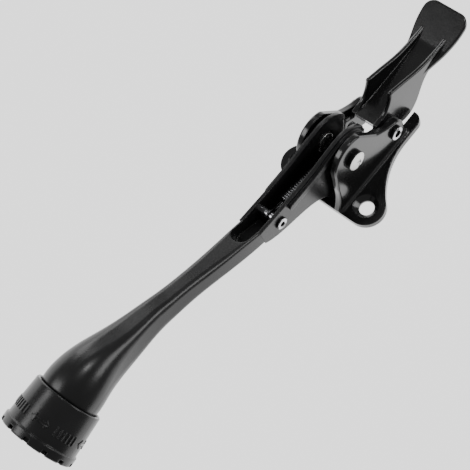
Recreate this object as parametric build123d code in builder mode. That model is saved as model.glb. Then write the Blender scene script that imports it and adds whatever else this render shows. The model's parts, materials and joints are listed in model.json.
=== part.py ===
from build123d import *
from math import atan2, cos, degrees, radians, sin
import os

# Floor door holder: a bracket screwed to the door, a sprung leg with a rubber foot that swings
# down to the floor, and a foot pedal that kicks the leg back up.
# Millimetres. +Z is up the door, -Y points out of the door, X runs along the pivots.
# The origin lies on the door face, midway between the two screw holes.

# ---- driving dimensions -------------------------------------------------------------------
screw_spacing = 30.0
screw_r = 2.7
countersink_r = 4.4
ear_r = 7.0
plate_t = 2.4
horn_x = 10.8            # outer edge of the two horns above the ears
plate_top = 37.6
window_bottom = 17.5

cheek_in = 6.6           # inner faces of the two cheeks
cheek_t = 2.3
cheek_out = cheek_in + cheek_t

pivot_y, pivot_z = -20.7, 6.7          # leg pivot
pedal_y, pedal_z = -9.0, 25.7          # pedal pivot
anchor_y, anchor_z = -24.3, -25.7      # rivet in the leg that holds the lower spring hook
hook_y, hook_z = -15.6, 17.0           # pin in the bracket fork that holds the upper hook

leg_slot = 3.4           # half width of the channel in the leg
leg_half = 4.7           # half width of the leg's upper walls
bead_half = 5.75         # half width over the side beads
boss_half = 6.0          # half width over the pivot bosses
head_r = 9.4

pedal_in = 4.0           # inner faces of the pedal's side walls
pedal_half = 5.6

foot_y, foot_z = -51.5, -112.9         # centre of the rubber cup's rim
foot_tilt = 8.0          # lean of the foot's axis while the leg rests on its stop
cup_r = 11.7
cup_base_r = 12.5
cup_h = 13.9
flange_r = 13.05
foot_h = 17.2
spigot_r = 10.0
collar_r = 10.55
tread_notches = 12
stud_r = 4.0

stud_shank_r = 2.5
stud_peen_r = 3.3        # peened end inside the channel
bush_r = 3.4
hook_pin_r = 1.1
anchor_r = 1.5
insert_r = 6.0           # threaded insert in the leg's end
hex_r = 6.5              # head of the stud moulded into the foot
washer_r = 8.0           # its washer
rivet_r = 1.9
sleeve_r = 2.6
fit = 0.02               # radial play of a pressed or riveted pin
running = 0.06           # radial play of a turning fit

os.makedirs("parts", exist_ok=True)

pivot = (pivot_y, pivot_z)
pedal_pivot = (pedal_y, pedal_z)
anchor = (anchor_y, anchor_z)
hook = (hook_y, hook_z)


def save(name, part):
    """Label a finished piece and write it as its own STEP file."""
    part.label = name
    export_step(part, "parts/" + name + ".step")


def side(x):
    """Plane across the pivots at x: its own x runs along Y and its own y along Z."""
    return Plane.YZ.offset(x)


def polar(centre, radius, angle):
    """Point of the side view, angle measured from straight up towards the door."""
    return (centre[0] + radius * sin(radians(angle)), centre[1] + radius * cos(radians(angle)))


# ---- mounting bracket: cast plate, two cheeks, fork for the spring ---------------------------
flank_start = (screw_spacing / 2 + ear_r * cos(radians(45)), ear_r * sin(radians(45)))
flank_end = (horn_x, 27.0)
with BuildPart() as mounting_bracket:
    with BuildSketch(Plane.XZ):
        with BuildLine():
            Line((0, -ear_r), (screw_spacing / 2, -ear_r))
            ear_side = (screw_spacing / 2 + ear_r, 0)
            ThreePointArc((screw_spacing / 2, -ear_r), ear_side, flank_start)
            TangentArc(flank_start, flank_end, tangent=(-1, 1))
            Line(flank_end, (horn_x, plate_top - 3.6))
            TangentArc((horn_x, plate_top - 3.6), (horn_x - 3.2, plate_top), tangent=(0, 1))
            Line((horn_x - 3.2, plate_top), (0, plate_top))
            mirror(about=Plane.YZ)
        make_face()
    extrude(amount=plate_t)
    # window between the horns, where the pedal's heel swings
    with BuildSketch(Plane.XZ):
        with Locations((0, (window_bottom + 50) / 2)):
            RectangleRounded(2 * cheek_in, 50 - window_bottom, 2)
    extrude(amount=plate_t, mode=Mode.SUBTRACT)
    # cheeks
    cheek_foot = (-plate_t, -ear_r)
    cheek_low = (pivot_y, pivot_z - 9.1)
    shoulder = polar(pivot, 9.3, -52)
    for x in (cheek_in, -cheek_out):
        with BuildSketch(side(x)) as cheek:
            with BuildLine():
                Polyline((-0.8, 30.3), (-0.8, -ear_r), cheek_foot)
                ThreePointArc(cheek_foot, (-7.0, -4.8), (-13.5, -3.6))
                Line((-13.5, -3.6), cheek_low)
                ThreePointArc(cheek_low, polar(pivot, 9.1, -110), shoulder)
                Line(shoulder, (-18.6, 18.7))
                ThreePointArc((-18.6, 18.7), (-15.5, 23.0), (-13.4, 27.2))
                ThreePointArc((-13.4, 27.2), polar(pedal_pivot, 4.65, -35), (pedal_y, pedal_z + 4.6))
                Line((pedal_y, pedal_z + 4.6), (-0.8, 30.3))
            make_face()
            soft = [v for v in cheek.vertices() if abs(v.X + 18.6) < 0.1 or v.X < -27]
            fillet(soft, 1.6)
        extrude(amount=cheek_t)
    # soften the cheeks' outlines
    rim = mounting_bracket.edges().filter_by(lambda e: e.center().Y < -plate_t - 1)
    fillet(rim.filter_by(lambda e: abs(abs(e.center().X) - cheek_out) < 0.01), 0.7)
    # fork that carries the upper spring pin
    for x in (1.2, -2.4):
        with BuildSketch(side(x)):
            with BuildLine():
                Polyline((-1.2, 9.0), (-1.2, 15.0), (-10.0, 16.4), (hook_y, hook_z + 2.0))
                ThreePointArc((hook_y, hook_z + 2.0), (hook_y - 2.0, hook_z), (hook_y, hook_z - 2.0))
                Polyline((hook_y, hook_z - 2.0), (-9.0, 11.5), (-1.2, 9.0))
            make_face()
        extrude(amount=1.2)
    # pin holes
    with BuildSketch(side(-cheek_out)):
        with Locations(pivot):
            Circle(stud_shank_r + fit)
        with Locations(pedal_pivot):
            Circle(rivet_r + fit)
    extrude(amount=2 * cheek_out, mode=Mode.SUBTRACT)
    with BuildSketch(side(-3)):
        with Locations(hook):
            Circle(hook_pin_r + fit)
    extrude(amount=6, mode=Mode.SUBTRACT)
    # countersunk screw holes
    with Locations(Plane.XZ.offset(plate_t)):
        with Locations((screw_spacing / 2, 0), (-screw_spacing / 2, 0)):
            CounterSinkHole(radius=screw_r, counter_sink_radius=countersink_r, depth=plate_t,
                            counter_sink_angle=100)
    # cast fillets between the cheeks and the plate
    corner = mounting_bracket.edges().filter_by(
        lambda e: abs(abs(e.center().X) - cheek_out) < 0.01 and abs(e.center().Y + plate_t) < 0.01)
    fillet(corner, 1.4)
save("mounting_bracket", mounting_bracket.part)

# ---- leg pivot studs: headed outside, peened inside the leg's channel -------------------------
head_h = 1.6
stud_head_r = 3.65
for name, sign in (("leg_pivot_stud_left", -1), ("leg_pivot_stud_right", 1)):
    with BuildPart() as stud:
        with BuildSketch(side(sign * cheek_out)):
            with Locations(pivot):
                Circle(stud_head_r)
        extrude(amount=sign * head_h)
        fillet(stud.edges().group_by(Axis.X)[-1 if sign > 0 else 0], 0.3)
        with BuildSketch(side(sign * cheek_out)):
            with Locations(pivot):
                Circle(stud_shank_r)
        extrude(amount=-sign * (cheek_out - leg_slot - 0.5))
        with BuildSketch(side(sign * (leg_slot + 0.5))):
            with Locations(pivot):
                Circle(stud_peen_r)
        extrude(amount=-sign * 0.8)
    save(name, stud.part)

# ---- bushes in the leg's two walls -------------------------------------------------------------
for name, sign in (("leg_bush_left", -1), ("leg_bush_right", 1)):
    with BuildPart() as bush:
        with BuildSketch(side(sign * (leg_slot + 0.6))):
            with Locations(pivot):
                Circle(bush_r)
                Circle(stud_shank_r + running, mode=Mode.SUBTRACT)
        extrude(amount=sign * (boss_half - leg_slot - 0.6))
    save(name, bush.part)

# ---- nylon thrust washers between the leg and the cheeks --------------------------------------
for name, sign in (("leg_washer_left", -1), ("leg_washer_right", 1)):
    with BuildPart() as washer:
        with BuildSketch(side(sign * (boss_half + 0.05))):
            with Locations(pivot):
                Circle(5.0)
                Circle(stud_shank_r + fit, mode=Mode.SUBTRACT)
        extrude(amount=sign * (cheek_in - boss_half - 0.07))
    save(name, washer.part)

# ---- pin in the bracket fork for the upper spring hook ------------------------------------------
with BuildPart() as spring_hook_pin:
    with BuildSketch(side(-2.6)):
        with Locations(hook):
            Circle(hook_pin_r)
    extrude(amount=5.2)
save("spring_hook_pin", spring_hook_pin.part)

# ---- tubular pedal rivet with its rolled ends ---------------------------------------------------
with BuildPart() as pedal_rivet:
    with BuildSketch(side(-cheek_out - 1.3)):
        with Locations(pedal_pivot):
            Circle(rivet_r)
    extrude(amount=2 * cheek_out + 2.6)
    for x in (cheek_out, -cheek_out - 1.3):
        with BuildSketch(side(x)):
            with Locations(pedal_pivot):
                Circle(2.7)
        extrude(amount=1.3)
    ends = pedal_rivet.edges().filter_by(GeomType.CIRCLE)
    fillet(ends.group_by(Axis.X)[0] + ends.group_by(Axis.X)[-1], 0.5)
    with BuildSketch(side(-cheek_out - 1.3)):
        with Locations(pedal_pivot):
            Circle(1.4)
    extrude(amount=2 * cheek_out + 2.6, mode=Mode.SUBTRACT)
save("pedal_rivet", pedal_rivet.part)

# ---- steel sleeve on the rivet, which the pedal turns on ------------------------------------------
with BuildPart() as pedal_sleeve:
    with BuildSketch(side(-cheek_in + 0.03)):
        with Locations(pedal_pivot):
            Circle(sleeve_r)
            Circle(rivet_r + fit, mode=Mode.SUBTRACT)
    extrude(amount=2 * (cheek_in - 0.03))
save("pedal_sleeve", pedal_sleeve.part)

for name, sign in (("pedal_washer_left", -1), ("pedal_washer_right", 1)):
    with BuildPart() as washer:
        with BuildSketch(side(sign * (pedal_half + 0.05))):
            with Locations(pedal_pivot):
                Circle(4.4)
                Circle(sleeve_r + fit, mode=Mode.SUBTRACT)
        extrude(amount=sign * (cheek_in - pedal_half - 0.1))
    save(name, washer.part)

# ---- pedal: channel with two rails, wide pad on top, two tails that kick the leg -----------------
tail_tip = polar(pedal_pivot, 10.5, 180 + 33)
tail_dir = degrees(atan2(tail_tip[1] - pedal_z, tail_tip[0] - pedal_y))
wall_t = pedal_half - pedal_in
# one side wall: rail in front, heel behind, tail below the pivot
with BuildPart() as pedal_wall:
    with BuildSketch(side(pedal_in)):
        with BuildLine():
            Line((-14.2, 25.4), (-16.2, 24.6))
            Spline((-16.2, 24.6), (-18.4, 28.8), (-22.6, 31.4), tangents=((-0.05, 1), (-1, 0.35)))
            ThreePointArc((-22.6, 31.4), (-23.3, 31.9), (-23.1, 32.8))
            Spline((-23.1, 32.8), (-20.5, 40.0), (-18.0, 46.8), (-16.9, 54.0), (-16.6, 62.0),
                   tangents=((0.35, 1), (0.0, 1)))
            Line((-16.6, 62.0), (-14.9, 62.0))
            Line((-14.9, 62.0), (-12.6, 53.0))
            Spline((-12.6, 53.0), (-10.4, 47.0), (-6.0, 42.8), (-2.6, 38.8),
                   tangents=((0.1, -1), (0.55, -1)))
            ThreePointArc((-2.6, 38.8), (-1.7, 36.0), (-2.0, 33.0))
            Line((-2.0, 33.0), (pedal_y + 4.4, pedal_z))
            Line((pedal_y + 4.4, pedal_z), (-14.2, 25.4))
        make_face()
    extrude(amount=wall_t)
    rail = pedal_wall.edges().filter_by(Axis.X, reverse=True)
    fillet(rail.filter_by(lambda e: e.center().Y < -16.3 and e.center().Z > 26), 0.6)
    rear = pedal_wall.edges().filter_by(Axis.X, reverse=True)
    fillet(rear.filter_by(lambda e: e.center().Y > -9 and e.center().Z > 27.5), 0.5)
    with BuildSketch(side(pedal_in)):
        with Locations(pedal_pivot):
            Circle(4.5)
        with Locations(((tail_tip[0] + pedal_y) / 2, (tail_tip[1] + pedal_z) / 2)):
            SlotCenterToCenter(10.5, 3.6, rotation=tail_dir)
        Polygon(pedal_pivot, (-14.2, 25.4), (-16.2, 24.6), (-15.8, 21.8), (-12.0, 19.5), align=None)
    extrude(amount=wall_t)

with BuildPart() as pedal:
    # floor and pad, bent outwards at both ends
    with BuildSketch(side(0)):
        with BuildLine():
            Line((-15.8, 21.8), (-15.0, 25.0))
            Spline((-15.0, 25.0), (-14.5, 34.0), (-14.5, 48.0), (-15.3, 57.0),
                   tangents=((0.1, 1), (-0.345, 1)))
            Polyline((-15.3, 57.0), (-20.3, 71.5), (-18.4, 72.2), (-13.3, 57.4))
            Spline((-13.3, 57.4), (-12.5, 48.0), (-12.6, 34.0), (-13.0, 25.0),
                   tangents=((0.345, -1), (-0.1, -1)))
            Polyline((-13.0, 25.0), (-13.8, 22.0), (-15.8, 21.8))
        make_face()
    extrude(amount=9.0, both=True)
    with BuildSketch(Plane.XZ.offset(30)):
        with BuildLine():
            Line((0, 20), (pedal_in + 0.8, 20))
            Line((pedal_in + 0.8, 20), (pedal_half - 0.2, 44.0))
            Spline((pedal_half - 0.2, 44.0), (6.4, 52.0), (8.3, 60.0), (8.95, 66.6),
                   tangents=((0.05, 1), (0, 1)))
            RadiusArc((8.95, 66.6), (4.95, 70.6), -4.0)
            Line((4.95, 70.6), (0, 70.6))
            mirror(about=Plane.YZ)
        make_face()
    extrude(amount=-30, mode=Mode.INTERSECT)
    pad_rim = pedal.edges().filter_by(
        lambda e: e.center().Z > 46 and abs(e.center().X) > 0.3 and e.length > 3)
    fillet(pad_rim, 0.6)
    add(pedal_wall.part)
    add(pedal_wall.part.mirror(Plane.YZ))
    with BuildSketch(side(-10)):
        with Locations(pedal_pivot):
            Circle(sleeve_r + running)
    extrude(amount=20, mode=Mode.SUBTRACT)
save("pedal", pedal.part)

# ---- leg: channel section above, tapering shank, flared end with a spigot ------------------------
foot_axis = (0, -sin(radians(foot_tilt)), cos(radians(foot_tilt)))


def on_foot(height):
    """Point on the foot's axis, height measured from the cup's rim."""
    return (0, foot_y + height * foot_axis[1], foot_z + height * foot_axis[2])


def foot_plane(height):
    """Plane across the foot's axis."""
    return Plane(origin=on_foot(height), x_dir=(1, 0, 0), z_dir=foot_axis)


# shank stations: y, z, lean, front half width, rear half width, depth, corner radius
stations = (
    (-25.2, -29.5, 12, 4.4, 4.4, 6.6, 1.0),
    (-27.0, -34.5, 16, 4.4, 4.6, 6.9, 1.0),
    (-30.2, -43.0, 21, 4.0, 4.7, 7.1, 1.2),
    (-33.9, -52.5, 22, 3.6, 4.6, 7.1, 1.6),
    (-37.9, -62.0, 23, 3.2, 4.6, 7.4, 1.8),
    (-41.7, -71.5, 22, 3.3, 5.0, 8.0, 2.0),
    (-45.3, -81.0, 19, 4.0, 5.8, 9.6, 2.6),
    (-48.2, -90.5, 14, 5.4, 7.1, 12.4, 3.9),
    (-51.3, -100.0, 8, 8.0, 8.6, 17.0, 7.2),
    (-52.3, -106.3, -4, 9.65, 9.65, 19.3, 9.0),
    (-51.45, -113.3, -8, 9.93, 9.93, 19.86, 9.5),
)


def station_plane(y, z, lean):
    """Plane across the shank; its own y points to the front of the leg."""
    down = (0, -sin(radians(lean)), -cos(radians(lean)))
    return Plane(origin=(0, y, z), x_dir=(1, 0, 0), z_dir=down)


block_end = -34.0        # lower end of the upper walls, inside the shank
slot_end = -37.6         # lower end of the spring's channel
horn_from, horn_to = 41.5, 58.0        # the horn that the pedal's tails push, degrees
horn_reach = 15.2
with BuildPart() as leg:
    # upper walls, seen from the side
    with BuildSketch(side(0)):
        with BuildLine():
            head_front = polar(pivot, head_r, -90)
            rim_end = (-22.4, 17.5)
            Line((-30.3, block_end), (-29.3, -20.0))
            Spline((-29.3, -20.0), (-29.1, -8.0), head_front, tangents=((0, 1), (0, 1)))
            ThreePointArc(head_front, (-28.2, 13.2), rim_end)
            Line(rim_end, polar(pivot, 9.6, 3))
            ThreePointArc(polar(pivot, 9.6, 3), polar(pivot, 9.4, 20), polar(pivot, 9.4, horn_from))
            Line(polar(pivot, 9.4, horn_from), polar(pivot, horn_reach, horn_from))
            ThreePointArc(polar(pivot, horn_reach, horn_from), polar(pivot, 15.6, 50),
                          polar(pivot, 14.6, horn_to))
            Line(polar(pivot, 14.6, horn_to), polar(pivot, 9.6, 74))
            ThreePointArc(polar(pivot, 9.6, 74), polar(pivot, 9.6, 105), (-13.6, -0.6))
            Line((-13.6, -0.6), (-9.6, -4.0))
            ThreePointArc((-9.6, -4.0), (-8.7, -5.2), (-9.4, -6.4))
            Spline((-9.4, -6.4), (-14.0, -12.0), (-16.9, -19.6), (-23.1, block_end))
            Line((-23.1, block_end), (-30.3, block_end))
        make_face()
    extrude(amount=leg_half, both=True)
    # side beads along the channel's lips
    for x in (leg_half, -bead_half):
        with BuildSketch(side(x)):
            with BuildLine():
                bead_front = polar(pivot, head_r - 1.2, -90)
                Line((-27.9, -19.6), (-27.7, -8.0))
                Line((-27.7, -8.0), bead_front)
                ThreePointArc(bead_front, (-26.9, 12.4), (-22.4, 16.2))
                Line((-22.4, 16.2), (-21.9, 14.0))
                ThreePointArc((-21.9, 14.0), (-25.2, 11.0), (bead_front[0] + 2.4, pivot_z))
                Line((bead_front[0] + 2.4, pivot_z), (-25.3, -8.0))
                Line((-25.3, -8.0), (-25.5, -19.6))
                ThreePointArc((-25.5, -19.6), (-26.7, -20.8), (-27.9, -19.6))
            make_face()
        extrude(amount=bead_half - leg_half)
    # pivot bosses
    with BuildSketch(side(-boss_half)):
        with Locations(pivot):
            Circle(5.2)
    extrude(amount=2 * boss_half)
    # shank down to the flared end
    for y, z, lean, front, rear, depth, corner in stations:
        with BuildSketch(station_plane(y, z, lean)) as section:
            Polygon((-rear, -depth / 2), (rear, -depth / 2), (front, depth / 2),
                    (-front, depth / 2), align=None)
            fillet(section.vertices(), corner)
    loft()
    with BuildSketch(foot_plane(-10.0)):
        Circle(spigot_r)
    extrude(amount=10)
    # channel for the spring, open in front and through the head
    with BuildSketch(side(-leg_slot)):
        with BuildLine():
            Polyline((-36, slot_end), (-36, 26), (-2, 26), (-2, -0.2), (-13.6, -2.6), (-16.6, -12.6),
                     (-18.6, -20.6), (-26.0, slot_end), (-36, slot_end))
        make_face()
    extrude(amount=2 * leg_slot, mode=Mode.SUBTRACT)
    with BuildSketch(Plane.XZ.offset(26.0)):
        with Locations((0, slot_end)):
            Circle(leg_slot)
    extrude(amount=9, mode=Mode.SUBTRACT)
    # bores: bushes, recess for the peened studs, anchor rivet, stud thread
    with BuildSketch(side(-10)):
        with Locations(pivot):
            Circle(bush_r + fit)
        with Locations(anchor):
            Circle(anchor_r + fit)
    extrude(amount=20, mode=Mode.SUBTRACT)
    with BuildSketch(side(-leg_slot - 0.6)):
        with Locations(pivot):
            Circle(stud_peen_r + 0.5)
    extrude(amount=2 * (leg_slot + 0.6), mode=Mode.SUBTRACT)
    with BuildSketch(foot_plane(-10.0)):
        Circle(insert_r + fit)
    extrude(amount=14, mode=Mode.SUBTRACT)
    with BuildSketch(foot_plane(-10.0)):
        Circle(stud_r + 0.6)
    extrude(amount=18.5, mode=Mode.SUBTRACT)
save("leg", leg.part)

# ---- tubular rivet across the leg that anchors the spring ------------------------------------------
with BuildPart() as spring_anchor_rivet:
    with BuildSketch(side(-leg_half - 0.9)):
        with Locations(anchor):
            Circle(anchor_r)
    extrude(amount=2 * leg_half + 1.8)
    for x in (leg_half, -leg_half - 0.9):
        with BuildSketch(side(x)):
            with Locations(anchor):
                Circle(2.25)
        extrude(amount=0.9)
    ends = spring_anchor_rivet.edges().filter_by(GeomType.CIRCLE)
    fillet(ends.group_by(Axis.X)[0] + ends.group_by(Axis.X)[-1], 0.4)
    with BuildSketch(side(-leg_half - 0.9)):
        with Locations(anchor):
            Circle(1.0)
    extrude(amount=2 * leg_half + 1.8, mode=Mode.SUBTRACT)
save("spring_anchor_rivet", spring_anchor_rivet.part)

# ---- extension spring: coil with its upper hook, and the lower hook on its shank ---------------------
spring_run = (anchor_y - hook_y, anchor_z - hook_z)
spring_len = (spring_run[0] ** 2 + spring_run[1] ** 2) ** 0.5
spring_dir = (0, spring_run[0] / spring_len, spring_run[1] / spring_len)
spring_turn = degrees(atan2(spring_run[1], spring_run[0]))
coil_r, wire = 2.4, 0.8
coil_top, coil_bottom = 5.0, 37.3      # distances from the upper hook pin
shank_top = 34.0
shank_r = 0.35
hook_eye_r = 1.4
anchor_eye_r = 1.6


def along_spring(distance):
    """Point of the side view on the spring's axis, measured from the upper hook pin."""
    return (hook_y + distance * spring_dir[1], hook_z + distance * spring_dir[2])


def across_spring(distance):
    """Plane across the spring's axis at a distance from the upper hook pin."""
    y, z = along_spring(distance)
    return Plane(origin=(0, y, z), x_dir=(1, 0, 0), z_dir=spring_dir)


with BuildPart() as lift_spring:
    with BuildSketch(across_spring(coil_top)):
        Circle(coil_r)
        Circle(coil_r - wire, mode=Mode.SUBTRACT)
    extrude(amount=coil_bottom - coil_top)
    with BuildSketch(side(-wire / 2)):
        with Locations(along_spring(coil_top / 2)):
            SlotCenterToCenter(coil_top, 2 * (hook_eye_r + wire), rotation=spring_turn)
            SlotCenterToCenter(coil_top, 2 * hook_eye_r, rotation=spring_turn, mode=Mode.SUBTRACT)
    extrude(amount=wire)
save("lift_spring", lift_spring.part)

with BuildPart() as spring_lower_hook:
    with BuildSketch(across_spring(shank_top)):
        Circle(shank_r)
    extrude(amount=spring_len - anchor_eye_r - wire / 2 - shank_top)
    with BuildSketch(side(-wire / 2)):
        with Locations(anchor):
            Circle(anchor_eye_r + wire)
            Circle(anchor_eye_r, mode=Mode.SUBTRACT)
    extrude(amount=wire)
save("spring_lower_hook", spring_lower_hook.part)

# ---- threaded insert in the leg's end ----------------------------------------------------------------
with BuildPart() as leg_thread_insert:
    with BuildSketch(foot_plane(-9.9)):
        Circle(insert_r)
        Circle(stud_r + running, mode=Mode.SUBTRACT)
    extrude(amount=13.8)
save("leg_thread_insert", leg_thread_insert.part)

# ---- friction collar between spigot and cup: it travels with the foot and doesn't turn --------------
with BuildPart() as friction_collar:
    with BuildSketch(foot_plane(-3.6)):
        Circle(collar_r)
        Circle(spigot_r + running, mode=Mode.SUBTRACT)
    extrude(amount=3.0)
save("friction_collar", friction_collar.part)

# ---- headed stud moulded into the rubber foot ---------------------------------------------------------
with BuildPart() as foot_stud:
    with BuildSketch(foot_plane(-14.8)):
        RegularPolygon(hex_r, 6)
    extrude(amount=3.2)
    with BuildSketch(foot_plane(-11.6)):
        Circle(stud_r)
    extrude(amount=18.6)
    chamfer(foot_stud.edges().filter_by(GeomType.CIRCLE).sort_by(Axis.Z)[-1], 0.8)
save("foot_stud", foot_stud.part)

with BuildPart() as foot_stud_washer:
    with BuildSketch(foot_plane(-11.55)):
        Circle(washer_r)
        Circle(stud_r + fit, mode=Mode.SUBTRACT)
    extrude(amount=1.1)
save("foot_stud_washer", foot_stud_washer.part)

# ---- rubber foot: cup with a flanged, notched tread ----------------------------------------------------
foot_section = Plane(origin=on_foot(0), x_dir=(1, 0, 0), z_dir=(0, -foot_axis[2], foot_axis[1]))
with BuildPart() as rubber_foot:
    with BuildSketch(foot_section):
        with BuildLine():
            Polyline(
                (0, -foot_h), (flange_r - 0.4, -foot_h), (flange_r, -foot_h + 0.4),
                (flange_r, -cup_h - 0.3), (flange_r - 0.3, -cup_h), (cup_base_r, -cup_h),
                (cup_r, -0.3), (cup_r - 0.25, 0), (collar_r + 0.25, 0), (collar_r + 0.06, -0.4),
                (collar_r + 0.06, -3.7), (spigot_r + 0.35, -3.7), (spigot_r + 0.35, -10.4),
                (0, -10.4), (0, -foot_h))
        make_face()
    revolve(axis=Axis(on_foot(0), foot_axis))
    # the stud's head and washer are moulded in
    with BuildSketch(foot_plane(-14.82)):
        RegularPolygon(hex_r + fit, 6)
    extrude(amount=3.25, mode=Mode.SUBTRACT)
    with BuildSketch(foot_plane(-11.57)):
        Circle(washer_r + fit)
    extrude(amount=1.3, mode=Mode.SUBTRACT)
    # tread notches
    with BuildSketch(foot_plane(-foot_h)):
        with PolarLocations(12.6, tread_notches, start_angle=15):
            Rectangle(3.0, 1.8)
    extrude(amount=1.6, mode=Mode.SUBTRACT)
save("rubber_foot", rubber_foot.part)
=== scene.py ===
import json
import math

import bpy
from mathutils import Matrix, Vector


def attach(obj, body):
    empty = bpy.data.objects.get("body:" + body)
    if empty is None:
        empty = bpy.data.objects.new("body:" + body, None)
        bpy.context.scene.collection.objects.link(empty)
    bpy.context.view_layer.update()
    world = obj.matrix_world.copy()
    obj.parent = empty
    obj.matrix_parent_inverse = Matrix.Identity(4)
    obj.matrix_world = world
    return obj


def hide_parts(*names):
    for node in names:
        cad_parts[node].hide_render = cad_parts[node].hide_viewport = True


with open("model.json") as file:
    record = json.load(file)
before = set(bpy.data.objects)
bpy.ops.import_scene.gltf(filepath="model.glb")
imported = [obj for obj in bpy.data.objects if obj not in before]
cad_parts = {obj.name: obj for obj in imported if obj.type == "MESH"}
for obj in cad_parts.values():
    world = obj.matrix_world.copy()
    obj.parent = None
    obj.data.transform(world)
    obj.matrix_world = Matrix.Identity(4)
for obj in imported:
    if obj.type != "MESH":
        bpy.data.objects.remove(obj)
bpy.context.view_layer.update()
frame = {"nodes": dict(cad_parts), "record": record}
scene = bpy.context.scene
MM = 0.001

# foot axis and pivots, metres
TILT = math.radians(8)
FOOT_UP = Vector((0, -math.sin(TILT), math.cos(TILT)))
FOOT_FRONT = Vector((0, -math.cos(TILT), -math.sin(TILT)))
FOOT_RIM = Vector((0, -0.0515, -0.1129))
HOOK = Vector((0, -0.0156, 0.017))
ANCHOR = Vector((0, -0.0243, -0.0257))
ACROSS = Vector((1, 0, 0))


# ---- materials ---------------------------------------------------------------------------
BLACK = (0, 0, 0, 1)
WHITE = (1, 1, 1, 1)
# noises, each as scale and detail
TONE_NOISE = (90, 6)
CHIP_NOISE = (700, 5)
SCAR_NOISE = (420, 2)
GLOSS_NOISE = (260, 4)
GRAIN_DETAIL = 3
# stretches of a value over which a change takes place
TONE_SPAN = (0.3, 0.7)
CONVEX_SPAN = (0.52, 0.62)
CHIP_SPAN = (0.5, 0.72)
END_FACE_SPAN = (0.62, 0.8)
SCAR_SPAN = (0.36, 0.42)
SCAR = (0.08, 0.08, 0.08, 1)
EDGE_WEAR = 0.5
PAINT = 0.006
UNPAINTED_HALF = 4.6 * MM
COAT_ROUGHNESS = 0.12
GRAIN_DEPTH = 0.2 * MM
EDGE_ROUNDING = 0.6 * MM
ROUNDING_SAMPLES = 6


def grey(value, tint=(1, 1, 1)):
    return (value * tint[0], value * tint[1], value * tint[2], 1)


def give(tree, socket, value):
    """Links another node's output to an input, or sets a fixed value there."""
    if isinstance(value, bpy.types.NodeSocket):
        tree.links.new(value, socket)
    else:
        socket.default_value = value


def noise(tree, scale, detail):
    """Noise that stays with the object."""
    place = tree.nodes.new("ShaderNodeTexCoord")
    node = tree.nodes.new("ShaderNodeTexNoise")
    node.inputs["Scale"].default_value = scale
    node.inputs["Detail"].default_value = detail
    tree.links.new(place.outputs["Object"], node.inputs["Vector"])
    return node.outputs["Fac"]


def ramp(tree, value, span, low=BLACK, high=WHITE):
    """Colour that goes from low to high while a value crosses a span."""
    node = tree.nodes.new("ShaderNodeValToRGB")
    first, last = node.color_ramp.elements
    first.position = span[0]
    first.color = low
    last.position = span[1]
    last.color = high
    tree.links.new(value, node.inputs["Fac"])
    return node.outputs["Color"]


def maths(tree, operation, first, second=None):
    node = tree.nodes.new("ShaderNodeMath")
    node.operation = operation
    tree.links.new(first, node.inputs[0])
    if second is not None:
        give(tree, node.inputs[1], second)
    return node.outputs[0]


def mix(tree, share, under, over):
    node = tree.nodes.new("ShaderNodeMix")
    node.data_type = "RGBA"
    tree.links.new(share, node.inputs["Factor"])
    give(tree, node.inputs["A"], under)
    give(tree, node.inputs["B"], over)
    return node.outputs["Result"]


def size_across(tree, vector):
    """Size of a vector's part along the pivots, which lie across the part."""
    split = tree.nodes.new("ShaderNodeSeparateXYZ")
    tree.links.new(vector, split.inputs["Vector"])
    return maths(tree, "ABSOLUTE", split.outputs["X"])


def worn_tone(tree, dark, light, edge):
    """Mottled tone, with patches of the convex edges a little worn."""
    tone = ramp(tree, noise(tree, *TONE_NOISE), TONE_SPAN, dark, light)
    sharpness = tree.nodes.new("ShaderNodeNewGeometry").outputs["Pointiness"]
    convex = ramp(tree, sharpness, CONVEX_SPAN)
    chips = ramp(tree, noise(tree, *CHIP_NOISE), CHIP_SPAN)
    wear = maths(tree, "MULTIPLY", maths(tree, "MULTIPLY", convex, chips), EDGE_WEAR)
    return mix(tree, wear, tone, edge)


def bare_share(tree):
    """How bare the metal is: on the ends across the pivots, and in the middle, where the paint
    doesn't reach inside the leg's channel, apart from dark tool marks."""
    normal = tree.nodes.new("ShaderNodeNewGeometry").outputs["Normal"]
    place = tree.nodes.new("ShaderNodeTexCoord").outputs["Object"]
    ends = ramp(tree, size_across(tree, normal), END_FACE_SPAN)
    middle = maths(tree, "LESS_THAN", size_across(tree, place), UNPAINTED_HALF)
    clean = ramp(tree, noise(tree, *SCAR_NOISE), SCAR_SPAN, SCAR, WHITE)
    return maths(tree, "MULTIPLY", maths(tree, "MAXIMUM", ends, middle), clean)


def gloss(tree, rough, rough_range):
    """Roughness that varies by the range either way."""
    node = tree.nodes.new("ShaderNodeMapRange")
    node.inputs["To Min"].default_value = rough - rough_range
    node.inputs["To Max"].default_value = rough + rough_range
    tree.links.new(noise(tree, *GLOSS_NOISE), node.inputs["Value"])
    return node.outputs["Result"]


def grained_normal(tree, grain, bump):
    """Surface grain over a softened edge."""
    soft = tree.nodes.new("ShaderNodeBevel")
    soft.samples = ROUNDING_SAMPLES
    soft.inputs["Radius"].default_value = EDGE_ROUNDING
    node = tree.nodes.new("ShaderNodeBump")
    node.inputs["Strength"].default_value = bump
    node.inputs["Distance"].default_value = GRAIN_DEPTH
    tree.links.new(noise(tree, grain, GRAIN_DETAIL), node.inputs["Height"])
    tree.links.new(soft.outputs["Normal"], node.inputs["Normal"])
    return node.outputs["Normal"]


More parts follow.
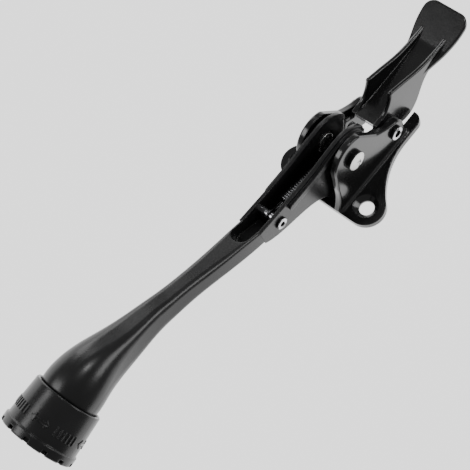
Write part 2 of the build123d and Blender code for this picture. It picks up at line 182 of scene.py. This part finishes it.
def coated(name, dark, light, edge, rough, rough_range, grain, bump,
           metallic=0.0, coat=0.0, tint=(1, 1, 1.04), faces_bare=False):
    """A procedural finish; faces_bare paints over metal, but for the faces that stay bare."""
    material = bpy.data.materials.new(name)
    material.use_nodes = True
    tree = material.node_tree
    shader = tree.nodes["Principled BSDF"].inputs
    shader["Metallic"].default_value = metallic
    shader["Coat Weight"].default_value = coat
    shader["Coat Roughness"].default_value = COAT_ROUGHNESS
    base = worn_tone(tree, grey(dark, tint), grey(light, tint), grey(edge, tint))
    if faces_bare:
        bare = bare_share(tree)
        base = mix(tree, bare, grey(PAINT), base)
        tree.links.new(bare, shader["Metallic"])
    tree.links.new(base, shader["Base Color"])
    tree.links.new(gloss(tree, rough, rough_range), shader["Roughness"])
    tree.links.new(grained_normal(tree, grain, bump), shader["Normal"])
    return material


FINISHES = {
    "cast_black": dict(dark=0.004, light=0.008, edge=0.03, rough=0.2, rough_range=0.05,
                       grain=1400, bump=0.05, coat=0.3),
    "cast_black_satin": dict(dark=0.005, light=0.010, edge=0.035, rough=0.29, rough_range=0.05,
                             grain=1500, bump=0.07),
    "foot_rubber": dict(dark=0.006, light=0.012, edge=0.02, rough=0.26, rough_range=0.08,
                        grain=1800, bump=0.08),
    "nylon": dict(dark=0.02, light=0.035, edge=0.05, rough=0.42, rough_range=0.07,
                  grain=1200, bump=0.06),
    "bare_zinc": dict(dark=0.5, light=0.85, edge=0.9, rough=0.24, rough_range=0.1,
                      grain=900, bump=0.25, metallic=1.0, tint=(1, 1, 0.98), faces_bare=True),
    "steel_pin": dict(dark=0.45, light=0.7, edge=0.8, rough=0.24, rough_range=0.08,
                      grain=1300, bump=0.12, metallic=1.0),
    "rivet_steel": dict(dark=0.6, light=0.85, edge=0.9, rough=0.22, rough_range=0.08,
                        grain=1300, bump=0.1, metallic=1.0, faces_bare=True),
    "spring_steel": dict(dark=0.1, light=0.2, edge=0.4, rough=0.3, rough_range=0.08,
                         grain=1500, bump=0.1, metallic=1.0),
    "bronze": dict(dark=0.3, light=0.5, edge=0.6, rough=0.35, rough_range=0.08,
                   grain=1300, bump=0.12, metallic=1.0, tint=(1, 0.7, 0.38)),
}
MATS = {name: coated(name, **finish) for name, finish in FINISHES.items()}
PAINTED_RIVETS = ("pedal_rivet", "spring_anchor_rivet")

slots = {s["node"]: s["material_slot"] for s in frame["record"]["subparts"]}
for name, node in frame["nodes"].items():
    node.data.materials.clear()
    finish = "rivet_steel" if name in PAINTED_RIVETS else slots[name]
    node.data.materials.append(MATS[finish])


def mesh_piece(name, verts, faces, body, slot, smooth=True):
    """A new piece that rides a body, in its slot's material."""
    data = bpy.data.meshes.new(name)
    data.from_pydata([tuple(v) for v in verts], [], faces)
    data.update()
    for poly in data.polygons:
        poly.use_smooth = smooth
    obj = bpy.data.objects.new(name, data)
    scene.collection.objects.link(obj)
    data.materials.append(MATS[slot])
    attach(obj, body)
    return obj


# ---- spring wound from wire --------------------------------------------------------------
# distances along the spring are counted from the hook pin
SPRING_LEN = (ANCHOR - HOOK).length
SPRING_DIR = (ANCHOR - HOOK).normalized()
SIDE = SPRING_DIR.cross(ACROSS).normalized()
WIRE_R = 0.4 * MM
WIRE_SIDES = 10
COIL_R = 2.0 * MM
COIL_TOP = 5.0 * MM
COIL_BOTTOM = 37.0 * MM
COIL_TURNS = 33
STEPS_PER_TURN = 24
FIRST_COIL = 0.4  # where the coil starts, as a share of its radius
LEAD_DROP = 0.4 * MM
LEAD_STEPS = 8
HOOK_EYE_R = 1.8 * MM
LOWER_EYE_R = 2.0 * MM
LOWER_WIRE_R = 0.9 * WIRE_R
LOWER_STRAIGHT = (33.6 * MM, 35 * MM, 37.5 * MM, 39.5 * MM)
LOWER_NECK = 0.9 * MM
LOWER_NECK_OUT = 0.1 * MM


def tube(path, radius):
    """Verts and faces of a round wire along a path, capped at both ends."""
    verts, faces = [], []
    normal = None
    for i, p in enumerate(path):
        tangent = (path[min(i + 1, len(path) - 1)] - path[max(i - 1, 0)]).normalized()
        if normal is None:
            normal = tangent.orthogonal().normalized()
        normal = (normal - tangent * normal.dot(tangent)).normalized()
        binormal = tangent.cross(normal)
        for k in range(WIRE_SIDES):
            a = 2 * math.pi * k / WIRE_SIDES
            verts.append(p + (normal * math.cos(a) + binormal * math.sin(a)) * radius)
    for i in range(len(path) - 1):
        here = i * WIRE_SIDES
        ahead = here + WIRE_SIDES
        for k in range(WIRE_SIDES):
            j = (k + 1) % WIRE_SIDES
            faces.append((here + k, here + j, ahead + j, ahead + k))
    last = (len(path) - 1) * WIRE_SIDES
    faces.append(tuple(reversed(range(WIRE_SIDES))))
    faces.append(tuple(last + k for k in range(WIRE_SIDES)))
    return verts, faces


def on_spring(distance, out=0.0, angle=0.0):
    """Point at a distance along the spring, turned about its axis."""
    turned = SIDE * math.cos(angle) + ACROSS * math.sin(angle)
    return HOOK + SPRING_DIR * distance + turned * out


def eye(centre, radius, start, sweep, steps):
    """Points round a pin; angles in degrees, 0 where the eye faces up the spring."""
    points = []
    for k in range(steps + 1):
        a = math.radians(start + k * sweep / steps)
        points.append(centre - SPRING_DIR * math.cos(a) * radius + SIDE * math.sin(a) * radius)
    return points


def smooth_step(t):
    return t * t * (3 - 2 * t)


def upper_path():
    """Open hook round the pin, from its tip over the top, then down into the coil."""
    path = eye(HOOK, HOOK_EYE_R, start=50, sweep=-250, steps=24)
    hook_end = path[-1]
    coil_start = on_spring(COIL_TOP - LEAD_DROP, COIL_R * FIRST_COIL, math.pi)
    for k in range(1, LEAD_STEPS + 1):
        path.append(hook_end.lerp(coil_start, smooth_step(k / LEAD_STEPS)))
    steps = COIL_TURNS * STEPS_PER_TURN
    for k in range(steps + 1):
        turn = 2 * math.pi * COIL_TURNS * k / steps
        # the coil reaches its full radius after half a turn
        grow = min(1.0, FIRST_COIL + turn / math.pi * (1 - FIRST_COIL))
        distance = COIL_TOP + k / steps * (COIL_BOTTOM - COIL_TOP)
        path.append(on_spring(distance, COIL_R * grow, math.pi + turn))
    return path


def lower_path():
    """Straight wire out of the coil's end, then the eye round the anchor pin."""
    path = [on_spring(distance) for distance in LOWER_STRAIGHT]
    path.append(on_spring(SPRING_LEN - LOWER_EYE_R - LOWER_NECK, LOWER_NECK_OUT))
    return path + eye(ANCHOR, LOWER_EYE_R, start=12, sweep=320, steps=28)


verts, faces = tube(upper_path(), WIRE_R)
coil = mesh_piece("lift_spring_wire", verts, faces, "spring", "spring_steel")
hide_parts("lift_spring")

verts, faces = tube(lower_path(), LOWER_WIRE_R)
lower = mesh_piece("spring_lower_hook_wire", verts, faces, "spring_end", "spring_steel")
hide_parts("spring_lower_hook")


# ---- raised marks on the rubber foot: generic arrows and ticks ---------------------------
RIM_R = 11.7 * MM
BASE_R = 12.5 * MM
FLANK_HEIGHT = 13.9 * MM
MARKS_HEIGHT = -9.2 * MM
MARK_SUNK = 0.1 * MM
MARK_RAISED = 0.22 * MM
MARK_BEVEL = 0.08 * MM
ARROWS = 4
FIRST_ARROW = -15
TICKS = 6
FIRST_TICK = 28
TICK_STEP = 7
# outlines in mm along the flank, counted from their centres
ARROW = ((-3.6, 0), (-1.8, 1.6), (-1.8, 0.6), (0, 0.6), (1.8, 0.6), (1.8, 1.6), (3.6, 0),
         (1.8, -1.6), (1.8, -0.6), (0, -0.6), (-1.8, -0.6), (-1.8, -1.6))
TICK = ((-0.35, -1.6), (0.35, -1.6), (0.35, 1.6), (-0.35, 1.6))


def cup_radius(height):
    """Radius of the cup's flank at a height from its rim, which is negative down the cup."""
    return RIM_R - (BASE_R - RIM_R) * height / FLANK_HEIGHT


def on_cup(angle, height, lift):
    """Point on the cup's flank; angle from the front, towards -X."""
    out = FOOT_FRONT * math.cos(angle) - ACROSS * math.sin(angle)
    return FOOT_RIM + FOOT_UP * height + out * (cup_radius(height) + lift)


def raised(outline, centre_angle, verts, faces):
    """Adds a raised shape at the height of the marks."""
    base = len(verts)
    count = len(outline)
    for lift in (-MARK_SUNK, MARK_RAISED):
        for u, v in outline:
            height = MARKS_HEIGHT + v * MM
            verts.append(on_cup(centre_angle + u * MM / cup_radius(height), height, lift))
    faces.append(tuple(base + count + k for k in range(count)))
    faces.append(tuple(base + k for k in reversed(range(count))))
    for k in range(count):
        j = (k + 1) % count
        faces.append((base + k, base + j, base + count + j, base + count + k))


verts, faces = [], []
for k in range(ARROWS):
    spot = math.radians(FIRST_ARROW + k * 360 / ARROWS)
    raised(ARROW, spot, verts, faces)
    for step in range(TICKS):
        raised(TICK, spot + math.radians(FIRST_TICK + step * TICK_STEP), verts, faces)
marks = mesh_piece("foot_marks", verts, faces, "foot", "foot_rubber", False)
edge = marks.modifiers.new("bevel", "BEVEL")
edge.width = MARK_BEVEL
edge.segments = 2


# ---- camera, floor, lights ---------------------------------------------------------------
# the photograph's viewing angle, as the camera's own axes
BACK = Vector((0.4498, -0.8813, -0.1447)).normalized()
RIGHT = Vector((-0.5172, -0.3891, 0.7623)).cross(BACK).normalized()
UP = BACK.cross(RIGHT).normalized()
SQUARE_ON = Matrix((RIGHT, UP, BACK)).transposed().to_4x4()
CAMERA_PLACE = Vector((0.2176, -0.4612, -0.1096))
LENS = 114.8936
MIDDLE = Vector((0, -0.026, -0.03))
FLOOR_BACK = -1.5
FLOOR_SIZE = 24
FLOOR_GLOW = 1.5
WORLD_STRENGTH = 0.25

cam_data = bpy.data.cameras.new("camera")
cam_data.sensor_width = 36
cam_data.lens = LENS
cam_data.clip_start = 0.02
cam_data.clip_end = 40
cam = bpy.data.objects.new("camera", cam_data)
scene.collection.objects.link(cam)
scene.camera = cam
cam.matrix_world = Matrix.Translation(CAMERA_PLACE) @ SQUARE_ON


def at(right, up, back):
    """A point given in the camera's axes about the middle of the object."""
    return MIDDLE + RIGHT * right + UP * up + BACK * back


def area(name, place, width, height, power):
    """A soft rectangular light aimed at the middle of the object."""
    lamp = bpy.data.lights.new(name, "AREA")
    lamp.shape = "RECTANGLE"
    lamp.size = width
    lamp.size_y = height
    lamp.energy = power
    light = bpy.data.objects.new(name, lamp)
    scene.collection.objects.link(light)
    light.location = place
    light.rotation_mode = "QUATERNION"
    light.rotation_quaternion = (MIDDLE - place).to_track_quat("-Z", "Y")


def pale_floor():
    """A pale sheet behind the object, square to the camera, as the photographed table lies."""
    bpy.ops.mesh.primitive_grid_add(x_subdivisions=8, y_subdivisions=8, size=FLOOR_SIZE)
    sheet = bpy.context.object
    sheet.name = "floor"
    sheet.matrix_world = Matrix.Translation(at(0, 0, FLOOR_BACK)) @ SQUARE_ON
    glow = bpy.data.materials.new("floor")
    glow.use_nodes = True
    shader = glow.node_tree.nodes["Principled BSDF"].inputs
    shader["Base Color"].default_value = WHITE
    shader["Roughness"].default_value = 0.9
    shader["Emission Color"].default_value = WHITE
    shader["Emission Strength"].default_value = FLOOR_GLOW
    sheet.data.materials.append(glow)


pale_floor()
area("left", at(-0.66, 0.15, 0.44), 0.26, 0.4, 1.5)
area("top", at(-0.25, 0.75, 0.04), 0.4, 0.3, 1.2)
area("fill", at(0.8, 0.2, 0.5), 0.35, 0.55, 3)
area("spark", at(0.1, 0.62, 0.75), 0.16, 0.16, 1.4)
world = bpy.data.worlds.new("world")
scene.world = world
world.use_nodes = True
background = world.node_tree.nodes["Background"].inputs
background["Color"].default_value = WHITE
background["Strength"].default_value = WORLD_STRENGTH
